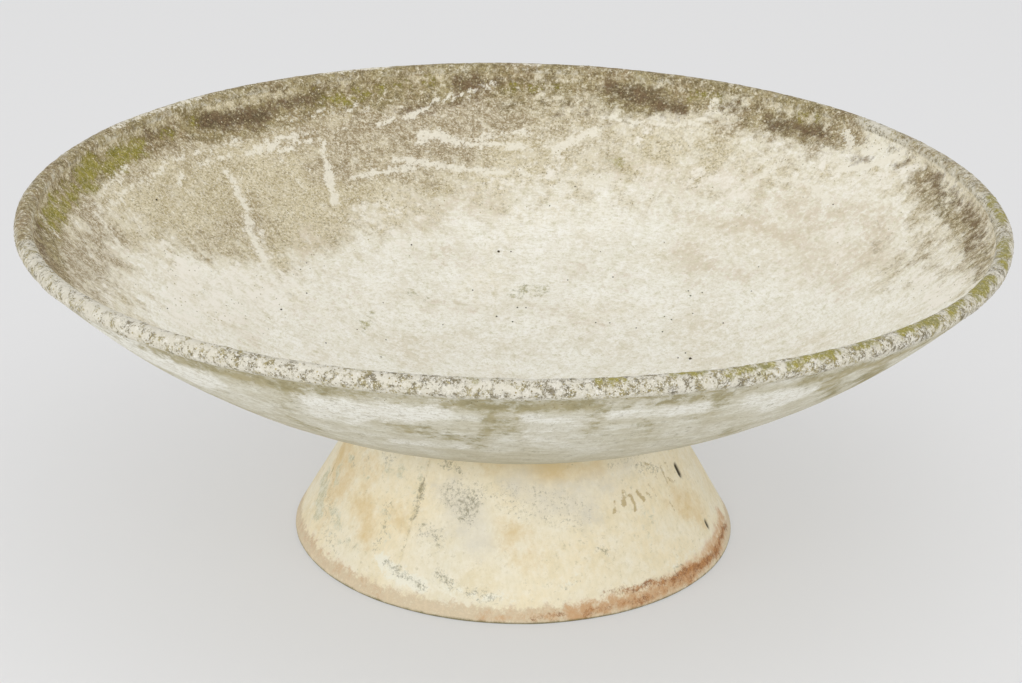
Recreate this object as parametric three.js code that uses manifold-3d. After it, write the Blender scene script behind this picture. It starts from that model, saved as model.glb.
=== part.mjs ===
// Bowl planter on a conical stand, in hand-moulded fibre cement.
//
// A wide, shallow bowl with a rolled rim rests by its own weight on a hollow,
// open-ended cone. The bowl is a spherical dish, so it centres itself in the
// bevelled seat at the top of the stand, and lifts straight off. Rain drains
// through a hole at the lowest point of the bowl, down inside the stand.
//
// Millimetres, +Z up. The origin is on the floor, at the centre of the foot.

import * as THREE from 'three';
import { mergeVertices } from 'three/addons/utils/BufferGeometryUtils.js';
import Module from 'manifold-3d';

// ---------------------------------------------------------------- bowl sizes
const BOWL_DIAMETER = 1200;      // over the rolled rim
const BOWL_DEPTH = 281;          // top of the rim to the pole of the underside
const BOWL_WALL = 12;            // thickness of the moulded sheet
const RIM_ROLL_DIAMETER = 21;    // the sheet's edge, rolled over to a bead
const RIM_PROUD = 1;             // step from the underside out to the bead
const RIM_COVE_RADIUS = 24;      // hollow blend from the bead down into the bowl
const FLOOR_FLAT_DIAMETER = 120; // flat spot pressed into the pole of the dish
const DRAIN_DIAMETER = 30;
const DRAIN_CHAMFER = 3;         // worn edge of the drain hole, top and bottom

// --------------------------------------------------------------- stand sizes
const STAND_HEIGHT = 181;
const FOOT_DIAMETER = 564;       // to the sharp corner, before it is rounded
const NECK_DIAMETER = 356;       // outside of the stand at its top edge
const STAND_WALL = 12;
const FOOT_EDGE_RADIUS = 2.5;    // rounded outer edge at the floor
const NECK_EDGE_RADIUS = 3;      // rounded outer edge at the seat
const SEAM_WIDTH = 5;            // groove where the wrapped sheet was lapped
const SEAM_DEPTH = 1.6;
const SEAM_END_MARGIN = 22;      // the groove stops short of both edges
const SEAM_AZIMUTH = 238;        // degrees about +Z, counted from +X

// ----------------------------------------------------------------- clearance
const SEAT_GAP = 0.3;            // between the bowl's underside and its seat

// ---------------------------------------------------------------- facetting
const ROUND_SEGMENTS = 96;
const DISH_STEPS = 14;
const RIM_STEPS = 12;
const COVE_STEPS = 4;
const EDGE_STEPS = 4;
const SEAT_STEPS = 3;

const wasm = await Module();
wasm.setup();

// ---------------------------------------------------------- profile drawing
// Profiles are drawn as points (distance from the axis, height), anticlockwise.
const point = (x, y) => new THREE.Vector2(x, y);

// Points along the arc about `centre` from one point to another, both included.
function arcBetween(centre, from, to, clockwise, steps) {
  const radius = centre.distanceTo(from);
  const start = from.clone().sub(centre).angle();
  const end = to.clone().sub(centre).angle();
  return new THREE.ArcCurve(centre.x, centre.y, radius, start, end, clockwise).getPoints(steps);
}

// The point at `distance` from `origin` in the direction of `target`.
function towards(origin, target, distance) {
  return target.clone().sub(origin).setLength(distance).add(origin);
}

// Where two circles cross, on the right of the way from the first centre to the second.
function circlesCross(centreA, radiusA, centreB, radiusB) {
  const gap = centreA.distanceTo(centreB);
  const along = (gap ** 2 + radiusA ** 2 - radiusB ** 2) / (2 * gap);
  const aside = Math.sqrt(radiusA ** 2 - along ** 2);
  const way = centreB.clone().sub(centreA).normalize();
  return centreA.clone().addScaledVector(way, along).add(point(way.y, -way.x).multiplyScalar(aside));
}

// The points that round off `corner` of an outline that comes from `before` and goes
// on to `after`.
function roundedCorner(before, corner, after, radius, steps) {
  const toBefore = towards(corner, before, 1).sub(corner);
  const toAfter = towards(corner, after, 1).sub(corner);
  const halfAngle = Math.acos(toBefore.dot(toAfter)) / 2;
  const setback = radius / Math.tan(halfAngle);
  const inward = toBefore.clone().add(toAfter).setLength(radius / Math.sin(halfAngle));
  const start = toBefore.multiplyScalar(setback).add(corner);
  const end = toAfter.multiplyScalar(setback).add(corner);
  return arcBetween(inward.add(corner), start, end, false, steps);
}

// Revolves a closed profile about Z.
function revolve(profile) {
  const closed = [...profile, profile[0]];
  return new THREE.LatheGeometry(closed, ROUND_SEGMENTS).rotateX(Math.PI / 2);
}

// --------------------------------------------------------------------- bowl
// Heights in this section count from the pole of the underside. The dish is part of
// a sphere whose radius follows from the rim: RIM_PROUD below the outside of the bead.
const ROLL_R = RIM_ROLL_DIAMETER / 2;
const ROLL_CENTRE = point(BOWL_DIAMETER / 2 - ROLL_R, BOWL_DEPTH - ROLL_R);
const ROLL_INSET = ROLL_R - RIM_PROUD;
const DISH_RADIUS = (ROLL_CENTRE.lengthSq() - ROLL_INSET ** 2) / (2 * (ROLL_CENTRE.y - ROLL_INSET));

// Height of the underside above its own pole, at distance r from the axis.
const dishRise = (r) => DISH_RADIUS - Math.sqrt(DISH_RADIUS ** 2 - r ** 2);

function bowlGeometry() {
  const dishCentre = point(0, DISH_RADIUS);
  const innerRadius = DISH_RADIUS - BOWL_WALL;
  const drainR = DRAIN_DIAMETER / 2;
  const flatR = FLOOR_FLAT_DIAMETER / 2;
  const undersideFlat = point(flatR, dishRise(flatR));
  const floorHeight = undersideFlat.y + BOWL_WALL;
  const floorDrop = DISH_RADIUS - floorHeight;
  const floorFlat = point(Math.sqrt(innerRadius ** 2 - floorDrop ** 2), floorHeight);

  const crease = circlesCross(dishCentre, DISH_RADIUS, ROLL_CENTRE, ROLL_R);
  const coveCentre = circlesCross(
    dishCentre, innerRadius - RIM_COVE_RADIUS, ROLL_CENTRE, ROLL_R + RIM_COVE_RADIUS,
  );
  const coveTop = towards(ROLL_CENTRE, coveCentre, ROLL_R);
  const coveFoot = towards(dishCentre, coveCentre, innerRadius);

  return revolve([
    point(drainR, undersideFlat.y + DRAIN_CHAMFER),
    point(drainR + DRAIN_CHAMFER, undersideFlat.y),
    ...arcBetween(dishCentre, undersideFlat, crease, false, DISH_STEPS),
    ...arcBetween(ROLL_CENTRE, crease, coveTop, false, RIM_STEPS).slice(1),
    ...arcBetween(coveCentre, coveTop, coveFoot, true, COVE_STEPS).slice(1),
    ...arcBetween(dishCentre, coveFoot, floorFlat, true, DISH_STEPS).slice(1),
    point(drainR + DRAIN_CHAMFER, floorHeight),
    point(drainR, floorHeight - DRAIN_CHAMFER),
  ]);
}

// -------------------------------------------------------------------- stand
const FOOT_R = FOOT_DIAMETER / 2;
const NECK_R = NECK_DIAMETER / 2;
const TAPER = Math.atan2(FOOT_R - NECK_R, STAND_HEIGHT);  // lean of the side from upright
const WALL_ACROSS = STAND_WALL / Math.cos(TAPER);         // the wall, cut level

// Height of the bowl's pole when the bowl rests on the seat.
const BOWL_LIFT = STAND_HEIGHT + SEAT_GAP - dishRise(NECK_R);

function standGeometry() {
  const seatInnerR = NECK_R - WALL_ACROSS;
  const footInner = point(FOOT_R - WALL_ACROSS, 0);
  const footOuter = point(FOOT_R, 0);
  const neckOuter = point(NECK_R, STAND_HEIGHT);
  const seat = Array.from({ length: SEAT_STEPS }, (_, i) => {
    const r = THREE.MathUtils.lerp(NECK_R, seatInnerR, (i + 1) / SEAT_STEPS);
    return point(r, BOWL_LIFT + dishRise(r) - SEAT_GAP);
  });
  return revolve([
    footInner,
    ...roundedCorner(footInner, footOuter, neckOuter, FOOT_EDGE_RADIUS, EDGE_STEPS),
    ...roundedCorner(footOuter, neckOuter, seat[0], NECK_EDGE_RADIUS, EDGE_STEPS),
    ...seat,
  ]);
}

// A three-sided bar laid along the slope, so that one edge bites SEAM_DEPTH into the
// wall and leaves a groove SEAM_WIDTH wide.
function seamCutter() {
  const slope = Math.hypot(FOOT_R - NECK_R, STAND_HEIGHT);
  const length = slope - 2 * SEAM_END_MARGIN;
  const section = new THREE.Shape([
    new THREE.Vector2(-SEAM_DEPTH, 0),
    new THREE.Vector2(SEAM_DEPTH, -SEAM_WIDTH),
    new THREE.Vector2(SEAM_DEPTH, SEAM_WIDTH),
  ]);
  return new THREE.ExtrudeGeometry(section, { depth: length, bevelEnabled: false })
    .translate(0, 0, -length / 2)
    .rotateY(-TAPER)
    .translate((FOOT_R + NECK_R) / 2, 0, STAND_HEIGHT / 2)
    .rotateZ(THREE.MathUtils.degToRad(SEAM_AZIMUTH));
}

// --------------------------------------------------- closed solids and cuts
function toSolid(geometry) {
  const bare = geometry.clone();
  bare.deleteAttribute('normal');
  bare.deleteAttribute('uv');
  const merged = mergeVertices(bare);
  const mesh = new wasm.Mesh({
    numProp: 3,
    vertProperties: merged.attributes.position.array,
    triVerts: new Uint32Array(merged.index.array),
  });
  return new wasm.Manifold(mesh);
}

function fromSolid(solid) {
  const { vertProperties, triVerts } = solid.getMesh();
  const geometry = new THREE.BufferGeometry();
  geometry.setAttribute('position', new THREE.BufferAttribute(vertProperties, 3));
  geometry.setIndex(new THREE.BufferAttribute(triVerts, 1));
  geometry.computeVertexNormals();
  return geometry;
}

function piece(name, geometry, material) {
  const mesh = new THREE.Mesh(geometry, material);
  mesh.name = name;
  return mesh;
}

// -------------------------------------------------------------------- model
const weatheredCement = new THREE.MeshStandardMaterial({
  color: 0xd6ccb2, roughness: 0.92, metalness: 0,
});
const limewashedCement = new THREE.MeshStandardMaterial({
  color: 0xe2d7b4, roughness: 0.85, metalness: 0,
});

const plainStand = toSolid(standGeometry());
const seamedStand = plainStand.subtract(toSolid(seamCutter()));
const stand = piece('stand', fromSolid(seamedStand), limewashedCement);

const bowl = piece('bowl', bowlGeometry(), weatheredCement);
bowl.position.z = BOWL_LIFT;

const planter = new THREE.Group();
planter.add(stand, bowl);

export default planter;
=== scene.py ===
# %% [markdown]
# # A weathered bowl planter on its stand
#
# The real thing is two pieces of hand-moulded fibre cement: a wide, shallow dish with a
# rolled rim, and a hollow cone that it rests on. Both are limewashed, and decades outdoors
# have stained them with algae, lichen, moss and rust. This lesson loads the measured frame
# of the two pieces, builds a finer surface over each, weathers it and lights it.

import cmath
import math

import bpy
import numpy as np
from mathutils import Matrix, Vector, noise


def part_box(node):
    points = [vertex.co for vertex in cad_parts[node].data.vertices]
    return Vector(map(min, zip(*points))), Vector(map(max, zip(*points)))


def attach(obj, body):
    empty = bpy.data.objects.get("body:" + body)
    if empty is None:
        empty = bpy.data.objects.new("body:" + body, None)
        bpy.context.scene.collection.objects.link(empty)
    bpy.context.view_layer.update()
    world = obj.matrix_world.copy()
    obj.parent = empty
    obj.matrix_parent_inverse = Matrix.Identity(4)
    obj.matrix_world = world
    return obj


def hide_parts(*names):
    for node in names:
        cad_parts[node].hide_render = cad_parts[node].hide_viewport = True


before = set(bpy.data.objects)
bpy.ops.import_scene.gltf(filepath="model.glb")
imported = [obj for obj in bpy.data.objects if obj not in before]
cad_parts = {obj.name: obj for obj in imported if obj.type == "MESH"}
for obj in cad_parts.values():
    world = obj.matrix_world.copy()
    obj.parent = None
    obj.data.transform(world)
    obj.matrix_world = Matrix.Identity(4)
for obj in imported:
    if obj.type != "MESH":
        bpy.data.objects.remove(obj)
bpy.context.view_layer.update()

# %% [markdown]
# ## Sizes
#
# Everything is in metres and stands where the frame stands: the axis of both pieces is Z,
# and the floor is at zero. The overall sizes come from the frame's boxes. The smaller ones
# are the real thicknesses and radii of the moulded sheet, written in millimetres.

# %% Sizes of the two pieces
MM = 0.001

bowl_low, bowl_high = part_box("bowl")
stand_low, stand_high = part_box("stand")
RIM_RADIUS = (bowl_high.x - bowl_low.x) / 2
RIM_TOP = bowl_high.z

BOWL_DEPTH = 281 * MM     # top of the rim to the lowest point of the dish's sphere
BOWL_WALL = 12 * MM
ROLL_RADIUS = 10.5 * MM   # the sheet's edge, rolled over to a bead
ROLL_PROUD = 1 * MM
COVE_RADIUS = 24 * MM     # hollow blend from the bead down into the bowl
FLAT_RADIUS = 60 * MM     # flat spot in the middle of the dish
DRAIN_RADIUS = 15 * MM
DRAIN_CHAMFER = 3 * MM

STAND_HEIGHT = 181 * MM   # to the sharp corners, before they are rounded
FOOT_RADIUS = 282 * MM
NECK_RADIUS = 178 * MM
STAND_WALL = 12 * MM
FOOT_ROUND = 2.5 * MM
NECK_ROUND = 3 * MM
SEAT_GAP = 0.3 * MM

PLAIN_STEP = 12 * MM      # how closely the outlines are cut up where they are flat,
UNDER_STEP = 18 * MM      # under the bowl,
BEAD_STEP = 2.2 * MM      # over the rim,
COVE_STEP = 3 * MM
DISH_STEP = 6.4 * MM      # down the inside,
EDGE_STEP = 0.8 * MM      # at the stand's rounded edges,
SIDE_STEP = 2.6 * MM      # up its side,
FOOT_STEP = 4 * MM
HOLLOW_STEP = 9 * MM      # and down its hollow
SEAT_STEPS = 5
BOWL_COLUMNS = 600
STAND_COLUMNS = 560

print(f"bowl {2 * RIM_RADIUS:.3f} m across, rim at {RIM_TOP:.3f} m")
print(f"stand {stand_high.z:.3f} m high, foot {stand_high.x - stand_low.x:.3f} m across")

# %% [markdown]
# ## Drawing a profile
#
# Both pieces are turned shapes, so each one is a closed outline carried round the axis.
# A complex number makes a handy point of such an outline: its real part is the distance
# from the axis, its imaginary part is the height, and an arc is a turning exponential.


# %% Helpers for profiles
def arc(centre, start, end, clockwise, step):
    """Points on the arc about `centre`, from `start` to `end`, at most `step` apart."""
    from_angle = cmath.phase(start - centre)
    to_angle = cmath.phase(end - centre)
    if clockwise and to_angle > from_angle:
        to_angle -= math.tau
    if not clockwise and to_angle < from_angle:
        to_angle += math.tau
    radius = abs(start - centre)
    count = math.ceil(abs(to_angle - from_angle) * radius / step) + 1
    return list(centre + radius * np.exp(1j * np.linspace(from_angle, to_angle, count)))


def straight(start, end, step):
    """Points on the line from `start` to `end`, both included, at most `step` apart."""
    count = math.ceil(abs(end - start) / step) + 1
    return list(np.linspace(start, end, count))


def towards(origin, target, distance):
    return origin + distance * (target - origin) / abs(target - origin)


def circles_cross(centre_a, radius_a, centre_b, radius_b):
    """Where two circles cross, on the right of the way from the first centre to the second."""
    gap = abs(centre_b - centre_a)
    along = (gap**2 + radius_a**2 - radius_b**2) / (2 * gap)
    aside = math.sqrt(radius_a**2 - along**2)
    way = (centre_b - centre_a) / gap
    return centre_a + way * along - 1j * way * aside


def rounded_corner(before, corner, after, radius, step):
    """Points that round off `corner` of an outline which runs anticlockwise."""
    to_before = towards(0, before - corner, 1)
    to_after = towards(0, after - corner, 1)
    half_angle = abs(cmath.phase(to_after / to_before)) / 2
    setback = radius / math.tan(half_angle)
    centre = corner + towards(0, to_before + to_after, radius / math.sin(half_angle))
    start = corner + to_before * setback
    end = corner + to_after * setback
    return arc(centre, start, end, False, step)


# %% [markdown]
# ## The bowl's outline
#
# The dish is part of a sphere whose radius follows from the rim: its underside passes just
# inside the bead. The outline starts at the drain hole, runs out under the bowl, over the
# rim and back down the inside. Each stretch carries two numbers that the finish needs
# later: how far it has come round to the inside, which is settled within the first sixth
# of the bead, and whether it belongs to the bead.

# %% Profile of the bowl
roll_centre = complex(RIM_RADIUS - ROLL_RADIUS, BOWL_DEPTH - ROLL_RADIUS)
roll_inset = ROLL_RADIUS - ROLL_PROUD
DISH_RADIUS = (abs(roll_centre) ** 2 - roll_inset**2) / (2 * (roll_centre.imag - roll_inset))
POLE_HEIGHT = RIM_TOP - BOWL_DEPTH
dish_centre = complex(0, POLE_HEIGHT + DISH_RADIUS)
roll_centre += 1j * POLE_HEIGHT


def dish_height(radius, wall=0.0):
    """Height of the dish at a distance from the axis: its underside, or `wall` above it."""
    return dish_centre.imag - np.sqrt((DISH_RADIUS - wall) ** 2 - np.square(radius))


def bowl_profile():
    inner = DISH_RADIUS - BOWL_WALL
    cove_centre = circles_cross(dish_centre, inner - COVE_RADIUS, roll_centre, ROLL_RADIUS + COVE_RADIUS)
    crease = circles_cross(dish_centre, DISH_RADIUS, roll_centre, ROLL_RADIUS)
    cove_top = towards(roll_centre, cove_centre, ROLL_RADIUS)
    cove_foot = towards(dish_centre, cove_centre, inner)
    under = complex(FLAT_RADIUS, dish_height(FLAT_RADIUS))
    floor_height = under.imag + BOWL_WALL
    floor = complex(math.sqrt(inner**2 - (dish_centre.imag - floor_height) ** 2), floor_height)
    hole_under = complex(DRAIN_RADIUS + DRAIN_CHAMFER, under.imag)
    hole_floor = complex(DRAIN_RADIUS + DRAIN_CHAMFER, floor_height)
    outside = (
        straight(hole_under, under, PLAIN_STEP)[:-1]
        + arc(dish_centre, under, crease, False, UNDER_STEP)[:-1]
    )
    bead = arc(roll_centre, crease, cove_top, False, BEAD_STEP)
    inside = (
        arc(cove_centre, cove_top, cove_foot, True, COVE_STEP)[1:-1]
        + arc(dish_centre, cove_foot, floor, True, DISH_STEP)[:-1]
        + straight(floor, hole_floor, PLAIN_STEP)
    )
    worn_edge = complex(DRAIN_CHAMFER, DRAIN_CHAMFER)
    hole = [hole_floor - worn_edge, hole_under - worn_edge.conjugate()]
    points = np.array(outside + bead + inside + hole)
    turned_in = np.concatenate([
        np.zeros(len(outside)),
        np.clip(np.linspace(0, 6, len(bead)), 0, 1),
        np.ones(len(inside) + len(hole)),
    ])
    on_bead = np.concatenate([
        np.zeros(len(outside)),
        np.ones(len(bead)),
        np.zeros(len(inside) + len(hole)),
    ])
    return points, {"inside": turned_in, "bead": on_bead}


bowl_outline, bowl_marks = bowl_profile()
print("bowl profile:", len(bowl_outline), "points, dish radius", round(DISH_RADIUS, 4), "m")

# %% [markdown]
# ## The stand's outline
#
# The stand is a cone of the same sheet, open at both ends. Its top edge is bevelled to the
# sphere of the bowl, a fraction of a millimetre below it, so the bowl centres itself.

# %% Profile of the stand
taper = math.atan2(FOOT_RADIUS - NECK_RADIUS, STAND_HEIGHT)
wall_across = STAND_WALL / math.cos(taper)


def stand_profile():
    foot_inner = complex(FOOT_RADIUS - wall_across, 0)
    foot_outer = complex(FOOT_RADIUS, 0)
    neck_outer = complex(NECK_RADIUS, STAND_HEIGHT)
    seat_radii = np.linspace(NECK_RADIUS, NECK_RADIUS - wall_across, SEAT_STEPS + 1)[1:]
    seat = [complex(radius, dish_height(radius) - SEAT_GAP) for radius in seat_radii]
    foot = rounded_corner(foot_inner, foot_outer, neck_outer, FOOT_ROUND, EDGE_STEP)
    neck = rounded_corner(foot_outer, neck_outer, seat[0], NECK_ROUND, EDGE_STEP)
    ring = straight(foot_inner, foot[0], FOOT_STEP)[:-1]
    outside = ring + foot + straight(foot[-1], neck[0], SIDE_STEP)[1:-1] + neck
    inside = straight(seat[-1], foot_inner, HOLLOW_STEP)[1:-1]
    points = np.array(outside + seat + inside)
    turned_in = np.concatenate([
        np.zeros(len(outside)),
        np.linspace(0.5, 1, len(seat)),
        np.ones(len(inside)),
    ])
    return points, {"inside": turned_in}


stand_outline, stand_marks = stand_profile()
print("stand profile:", len(stand_outline), "points, taper", round(math.degrees(taper), 1), "degrees")

# %% [markdown]
# ## Turning the outlines
#
# A Spin would do, but a Geometry Nodes tree says the rule plainly: lay a grid of columns
# and rows, look up each row's point on the outline, and turn each column about Z. The grid
# has one column and one row too many, and welding the doubles closes the shell both ways.
# One small function adds every node, so that each line shows its settings and links.


# %% Helpers for node trees
def linear(hex_colour):
    """An sRGB hex colour as the linear colour that a shader works in."""
    channels = [int(hex_colour[i : i + 2], 16) / 255 for i in (1, 3, 5)]
    return (*[c / 12.92 if c <= 0.04045 else ((c + 0.055) / 1.055) ** 2.4 for c in channels], 1.0)


def add(tree, kind, inputs=None, stops=None, **settings):
    """Adds a node. `inputs` maps a socket to a value, a hex colour or another node's output,
    and `stops` are a colour ramp's positions and hex colours."""
    node = tree.nodes.new(kind)
    for name, value in settings.items():
        setattr(node, name, value)
    for socket, value in (inputs or {}).items():
        if isinstance(value, bpy.types.NodeSocket):
            tree.links.new(value, node.inputs[socket])
        else:
            is_colour = isinstance(value, str) and value.startswith("#")
            node.inputs[socket].default_value = linear(value) if is_colour else value
    if stops:
        while len(node.color_ramp.elements) < len(stops):
            node.color_ramp.elements.new(0.5)
        for element, (position, colour) in zip(node.color_ramp.elements, stops):
            element.position = position
            element.color = linear(colour)
    return node


def new_tree(name, **inputs):
    """A Geometry Nodes tree with one geometry in and out, and the named inputs."""
    tree = bpy.data.node_groups.new(name, "GeometryNodeTree")
    tree.interface.new_socket("Geometry", in_out="INPUT", socket_type="NodeSocketGeometry")
    tree.interface.new_socket("Geometry", in_out="OUTPUT", socket_type="NodeSocketGeometry")
    for label, kind in inputs.items():
        tree.interface.new_socket(label, in_out="INPUT", socket_type="NodeSocket" + kind)
    return tree, tree.nodes.new("NodeGroupInput").outputs


def strongest(tree, amount, shares):
    """The largest of `amount` and each named mark of the mesh times its share."""
    for name, share in shares.items():
        mark = add(tree, "GeometryNodeInputNamedAttribute", {"Name": name}, data_type="FLOAT").outputs[0]
        part = add(tree, "ShaderNodeMath", {0: mark, 1: share}, operation="MULTIPLY").outputs[0]
        amount = add(tree, "ShaderNodeMath", {0: amount, 1: part}, operation="MAXIMUM").outputs[0]
    return amount


def end_tree(tree, geometry, material):
    """Ends a tree in Realize Instances and Set Material."""
    realized = add(tree, "GeometryNodeRealizeInstances", {"Geometry": geometry})
    dressed = add(tree, "GeometryNodeSetMaterial", {"Geometry": realized.outputs[0], "Material": material})
    add(tree, "NodeGroupOutput", {"Geometry": dressed.outputs[0]})


def show(thing):
    bpy.context.scene.collection.objects.link(thing)


def bake(name, mesh, tree, values):
    """Runs a tree over a mesh and returns the result as a plain mesh."""
    carrier = bpy.data.objects.new(name, mesh)
    show(carrier)
    modifier = carrier.modifiers.new(tree.name, "NODES")
    modifier.node_group = tree
    for item in tree.interface.items_tree:
        if item.in_out == "INPUT" and item.name in values:
            modifier[item.identifier] = values[item.name]
    evaluated = carrier.evaluated_get(bpy.context.evaluated_depsgraph_get())
    baked = bpy.data.meshes.new_from_object(evaluated)
    bpy.data.objects.remove(carrier)
    baked.name = name
    return baked


# %% The turning tree
def turning_tree(marks):
    tree, given = new_tree("turned_shell", Columns="Int", Material="Material")
    size = add(tree, "GeometryNodeAttributeDomainSize", {"Geometry": given["Geometry"]}, component="MESH")
    rows = size.outputs["Point Count"]
    row_count = add(tree, "ShaderNodeMath", {0: rows, 1: 1.0}, operation="ADD").outputs[0]
    column_count = add(tree, "ShaderNodeMath", {0: given["Columns"], 1: 1.0}, operation="ADD").outputs[0]
    grid = add(tree, "GeometryNodeMeshGrid", {"Vertices X": column_count, "Vertices Y": row_count})
    index = add(tree, "GeometryNodeInputIndex").outputs[0]
    quotient = add(tree, "ShaderNodeMath", {0: index, 1: row_count}, operation="DIVIDE").outputs[0]
    column = add(tree, "ShaderNodeMath", {0: quotient}, operation="FLOOR").outputs[0]
    row = add(tree, "ShaderNodeMath", {0: index, 1: row_count}, operation="MODULO").outputs[0]
    wrapped = add(tree, "ShaderNodeMath", {0: row, 1: rows}, operation="MODULO").outputs[0]
    turn = add(tree, "ShaderNodeMath", {0: math.tau, 1: given["Columns"]}, operation="DIVIDE").outputs[0]
    angle = add(tree, "ShaderNodeMath", {0: column, 1: turn}, operation="MULTIPLY").outputs[0]
    place = add(tree, "GeometryNodeInputPosition").outputs[0]
    point = add(
        tree, "GeometryNodeSampleIndex",
        {"Geometry": given["Geometry"], "Value": place, "Index": wrapped}, data_type="FLOAT_VECTOR",
    ).outputs["Value"]
    turned = add(tree, "ShaderNodeVectorRotate", {"Vector": point, "Angle": angle}, rotation_type="Z_AXIS")
    placed = {"Geometry": grid.outputs["Mesh"], "Position": turned.outputs[0]}
    shell = add(tree, "GeometryNodeSetPosition", placed)
    for mark in marks:
        drawn = add(tree, "GeometryNodeInputNamedAttribute", {"Name": mark}, data_type="FLOAT").outputs[0]
        looked_up = add(
            tree, "GeometryNodeSampleIndex",
            {"Geometry": given["Geometry"], "Value": drawn, "Index": wrapped}, data_type="FLOAT",
        )
        shell = add(
            tree, "GeometryNodeStoreNamedAttribute",
            {"Geometry": shell.outputs[0], "Name": mark, "Value": looked_up.outputs["Value"]},
            data_type="FLOAT", domain="POINT",
        )
    welded = add(tree, "GeometryNodeMergeByDistance", {"Geometry": shell.outputs[0], "Distance": 0.01 * MM})
    smooth = add(tree, "GeometryNodeSetShadeSmooth", {"Geometry": welded.outputs[0]})
    end_tree(tree, smooth.outputs[0], given["Material"])
    return tree


# %% [markdown]
# ## Weathering is painted on
#
# Noise alone would stain every bowl alike. On the real one the algae film hangs on the
# back and left of the inside, lichen crusts sit under the back rim, and pale scars cross
# the film where something scraped it off. So each kind of growth or wear is a mask on the
# mesh's points, painted by a few listed strokes. A stroke is a strength in
# percent, a width in millimetres, and a line of places: an azimuth in degrees, counted from
# +X, and a distance from the axis on the bowl or a height on the stand, in millimetres. The
# places are first pushed about by a noise, so that no stroke keeps its ruled edge, and the
# materials later break the masks up further with grain.


# %% Strokes
def listed(text):
    """Groups of numbers, such as "94,572 98,562"."""
    return [tuple(map(float, numbers.split(","))) for numbers in text.split()]


def strokes_of(text):
    """One stroke a line: its strength in percent, its width and its places."""
    rows = [line.split(maxsplit=2) for line in text.strip().splitlines()]
    return [(float(strength) / 100, float(width), listed(places)) for strength, width, places in rows]


def ease(values):
    """Smooth step from 0 to 1."""
    held = np.clip(values, 0, 1)
    return held * held * (3 - 2 * held)


STROKE_SEED = 8
noise.seed_set(STROKE_SEED)  # left alone, noise_vector takes its offsets from the clock


def jostled(places, size, reach):
    """Places moved by a smooth noise of the given size and reach, in millimetres."""
    shifts = [noise.noise_vector(Vector(place / (size * MM))) for place in places]
    return places + reach * MM * np.array(shifts)


def distance_to_line(places, line):
    """Distance from each place to the nearest point of a line of places."""
    nearest = np.full(len(places), np.inf)
    for start, end in zip(line[:-1], line[1:]):
        way = end - start
        share = np.clip((places - start) @ way / max(way @ way, 1e-12), 0, 1)
        nearest = np.minimum(nearest, np.linalg.norm(places - start - share[:, None] * way, axis=1))
    return nearest


def painted(places, surface, blur, strokes):
    """The mask that the strokes leave, each with an edge that fades over twice the blur."""
    bare = np.ones(len(places))
    for strength, width, marks in strokes:
        line = np.array([surface(azimuth, measure * MM) for azimuth, measure in marks])
        beyond = distance_to_line(places, np.concatenate([line, line[-1:]])) - width * MM / 2
        bare *= 1 - strength * ease(0.5 - beyond / (2 * blur * MM))
    return 1 - bare


def turned_to(azimuth, radius, height):
    turn = math.radians(azimuth)
    return np.array([radius * math.cos(turn), radius * math.sin(turn), height])


BEAD_TOP = 0.7 * ROLL_RADIUS  # strokes this near the middle of the bead lie on its top


def on_inside(azimuth, radius):
    """The dish out to the cove, and the top of the bead beyond it."""
    aside = radius - roll_centre.real
    if abs(aside) < BEAD_TOP:
        return turned_to(azimuth, radius, roll_centre.imag + math.sqrt(ROLL_RADIUS**2 - aside**2))
    return turned_to(azimuth, radius, dish_height(radius, BOWL_WALL))


def on_outside(azimuth, radius):
    return turned_to(azimuth, radius, dish_height(radius))


def on_stand(azimuth, height):
    return turned_to(azimuth, FOOT_RADIUS - height * math.tan(taper), height)


# %% Strokes inside the bowl: film, stains and growth
FILM_EDGE = listed("""
0,476 14,468 24,500 36,486 50,442 62,428 76,414 90,406 102,394 115,380 128,362 140,366 150,362
160,382 168,440 178,464 190,456 202,464 215,530 240,555 300,555 330,535 350,510 360,476
""")
FILM_STRENGTH = listed("""
0,0.55 16,0.55 26,0.34 34,0.26 44,0.5 60,0.52 76,0.62 90,0.78 102,0.95 125,1.0 150,1.0 164,0.9
176,0.74 195,0.78 207,0.6 220,0.25 240,0.1 300,0.1 340,0.3 360,0.55
""")
CRUST = strokes_of("""
60 40 346,568 356,562 6,560 14,560 23,566
40 18 24,575 32,574 40,573
80 40 38,573 46,564 55,564
60 30 54,571 60,570 65,570
90 44 64,570 70,564 76,568
80 28 75,571 84,571 93,571
45 44 72,548 82,546 93,546
90 42 92,571 99,565 106,564 114,568
95 42 112,564 118,563 124,563
100 48 122,563 132,559 143,563
95 36 142,568 150,567 158,567 166,567
85 38 164,567 172,567 180,566 189,565
90 46 188,567 196,562 206,558
60 18 205,572 213,574
95 26 40,588 55,588 70,588 85,588 100,588 115,588 130,588 145,588
90 26 145,588 160,588 175,588 190,588 200,588
60 20 8,588 20,588 32,588
""")
STAIN = strokes_of("""
75 77 176,520 190,510 200,530
69 77 100,500 112,510 124,500
100 55 92,548 99,540 104,540 113,536
88 66 96,528 106,512 117,520
56 55 99,480 108,462 122,474
56 55 122,540 136,545 150,550
69 44 150,560 168,560 184,560
100 55 190,556 198,546 206,552
62 66 174,538 186,520 198,512
94 37 352,560 2,562 12,560 23,564
44 66 358,530 12,512 19,480
62 40 17,505 19,480 22,460
75 51 42,552 52,546 58,556
62 48 64,550 74,546 84,556
50 55 76,500 92,540
44 66 144,450 162,440
44 18 128,386 146,368
""")
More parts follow.
